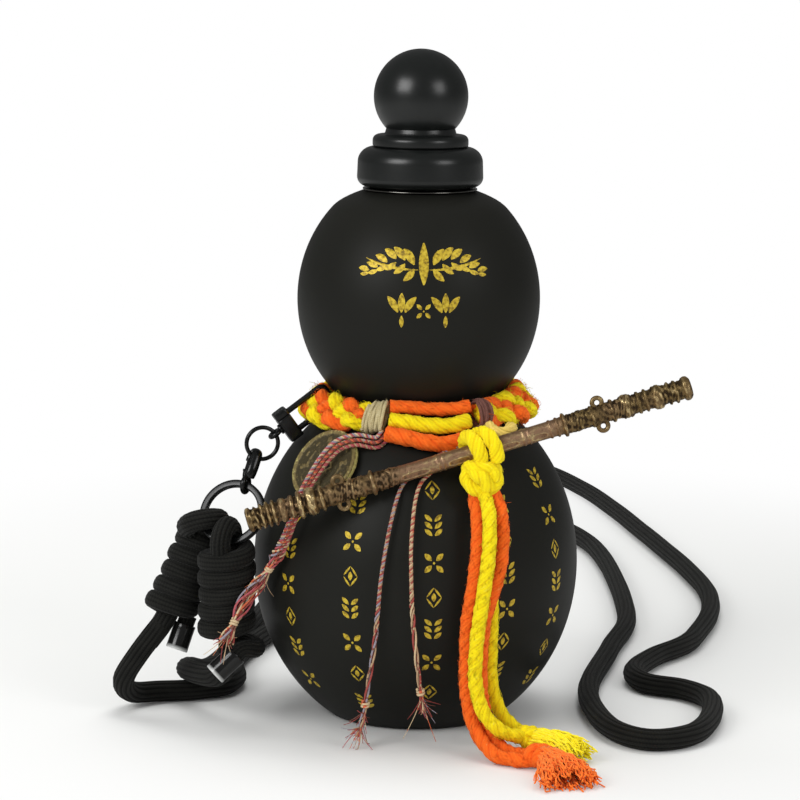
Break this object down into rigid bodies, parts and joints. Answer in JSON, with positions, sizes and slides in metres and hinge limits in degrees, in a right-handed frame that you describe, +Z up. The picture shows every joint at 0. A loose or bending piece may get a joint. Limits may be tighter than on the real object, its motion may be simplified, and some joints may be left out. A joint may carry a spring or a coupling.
{
  "type": "vacuum flask",
  "caption": "Gourd-shaped double-walled flask with a ball lid, a braided neck cord with charms, tassels and a swivel fitting for a long shoulder strap.",
  "frame": {"origin": "centre of the foot, on the table", "axes": "+Z up along the flask, -Y towards the side with the tassels, +X to the right seen from there"},
  "size_m": [0.2484, 0.6227, 0.25],
  "materials": {
    "shell_paint": "matt black baked coat",
    "steel": "satin",
    "foot_rubber": "matt",
    "band_gloss": "gloss black",
    "lid_plastic": "satin black",
    "stopper_plastic": "matt",
    "foam": "open foam",
    "silicone": "matt",
    "braid_cotton": "yellow and orange braid",
    "twine": "waxed twine",
    "twine_dark": "waxed twine",
    "yellow_cotton": "twisted cotton",
    "orange_cotton": "twisted cotton",
    "bronze": "aged bronze",
    "old_brass": "aged brass",
    "mixed_thread": "red, cream and brown plies",
    "black_metal": "gloss black plate",
    "pin_steel": "satin",
    "strap_cord": "woven black cord",
    "aglet_plastic": "gloss sleeve"
  },
  "bodies": {
    "flask": {"outer_shell": "shell_paint", "inner_liner": "steel", "vacuum_base": "steel", "getter_disc": "steel", "base_cover": "shell_paint", "foot_pad": "foot_rubber", "neck_band": "band_gloss", "neck_braid": "braid_cotton", "whipping_left": "twine", "whipping_right": "twine_dark", "front_cord_upper": "orange_cotton", "front_cord_middle": "yellow_cotton", "front_cord_lower": "orange_cotton", "rod_loop": "yellow_cotton", "ball_knot": "yellow_cotton", "tassel_orange_a": "orange_cotton", "tassel_yellow_a": "yellow_cotton", "tassel_orange_b": "orange_cotton", "tassel_yellow_b": "yellow_cotton", "tassel_end_yellow": "yellow_cotton", "tassel_end_orange": "orange_cotton", "coin_thread": "mixed_thread", "thread_a": "mixed_thread", "thread_b": "mixed_thread", "strap_loop": "black_metal", "clasp_body": "black_metal", "gate_pin": "pin_steel", "noose_loop_a": "strap_cord", "noose_loop_b": "strap_cord", "noose_wraps_a": "strap_cord", "noose_wraps_b": "strap_cord", "tail_a": "strap_cord", "tail_b": "strap_cord", "aglet_a": "aglet_plastic", "aglet_b": "aglet_plastic", "strap": "strap_cord"},
    "lid_gasket": {"cap_gasket": "silicone"},
    "lid_seal": {"stopper_seal": "silicone"},
    "lid": {"cap_collar": "lid_plastic", "cap_knob": "lid_plastic", "cap_stopper": "stopper_plastic", "stopper_foam": "foam"},
    "eye": {"swivel_eye": "black_metal"},
    "ring": {"small_ring": "black_metal"},
    "gate": {"clasp_gate": "black_metal"},
    "lower_eye": {"clasp_eye": "black_metal"},
    "key_ring": {"split_ring": "black_metal"},
    "rod": {"rod": "bronze"},
    "coin": {"coin": "old_brass"}
  },
  "joints": [
    {"name": "lid_lift", "type": "slide", "parent": "flask", "child": "lid_gasket", "axis": [0, 0, 1], "range_m": [0, 0.07]},
    {"name": "lid_rise", "type": "slide", "parent": "lid_gasket", "child": "lid_seal", "axis": [0, 0, 1], "range_m": [0, 0.0061]},
    {"name": "lid_turn", "type": "hinge", "parent": "lid_seal", "child": "lid", "pos_m": [0, 0, 0.2], "axis": [0, 0, 1], "range_deg": [0, 540]},
    {"name": "eye_swivel", "type": "hinge", "parent": "flask", "child": "eye", "pos_m": [-0.04861, -0.01216, 0.1108], "axis": [-0.7852, -0.1988, -0.5864], "range_deg": [-10, 10]},
    {"name": "small_ring_spin", "type": "hinge", "parent": "flask", "child": "ring", "pos_m": [-0.05752, -0.01442, 0.10414], "axis": [-0.2438, 0.9698, -0.0023], "continuous": true},
    {"name": "gate_open", "type": "hinge", "parent": "flask", "child": "gate", "pos_m": [-0.06298, -0.01535, 0.09362], "axis": [-0.8671, -0.2551, 0.4279], "range_deg": [0, 25], "stiffness_Nm_per_rad": 0.002, "springref_deg": -17.19},
    {"name": "lower_eye_swivel", "type": "hinge", "parent": "flask", "child": "lower_eye", "pos_m": [-0.0604, -0.01515, 0.09898], "axis": [-0.2602, -0.5004, -0.8257], "range_deg": [-8, 8]},
    {"name": "key_ring_spin", "type": "hinge", "parent": "flask", "child": "key_ring", "pos_m": [-0.06789, -0.02519, 0.07987], "axis": [0.2961, 0.8138, -0.5001], "continuous": true},
    {"name": "rod_slide", "type": "slide", "parent": "flask", "child": "rod", "axis": [0.954, 0.0631, 0.2932], "range_m": [-0.003, 0.003]},
    {"name": "coin_turn", "type": "hinge", "parent": "flask", "child": "coin", "pos_m": [-0.03362, -0.03644, 0.10003], "axis": [-0.5606, -0.6076, 0.5626], "range_deg": [-20, 20]}
  ],
  "couplings": [
    {"joint": "lid_rise", "follows": "lid_turn", "m_per_rad": 0.00063662}
  ]
}
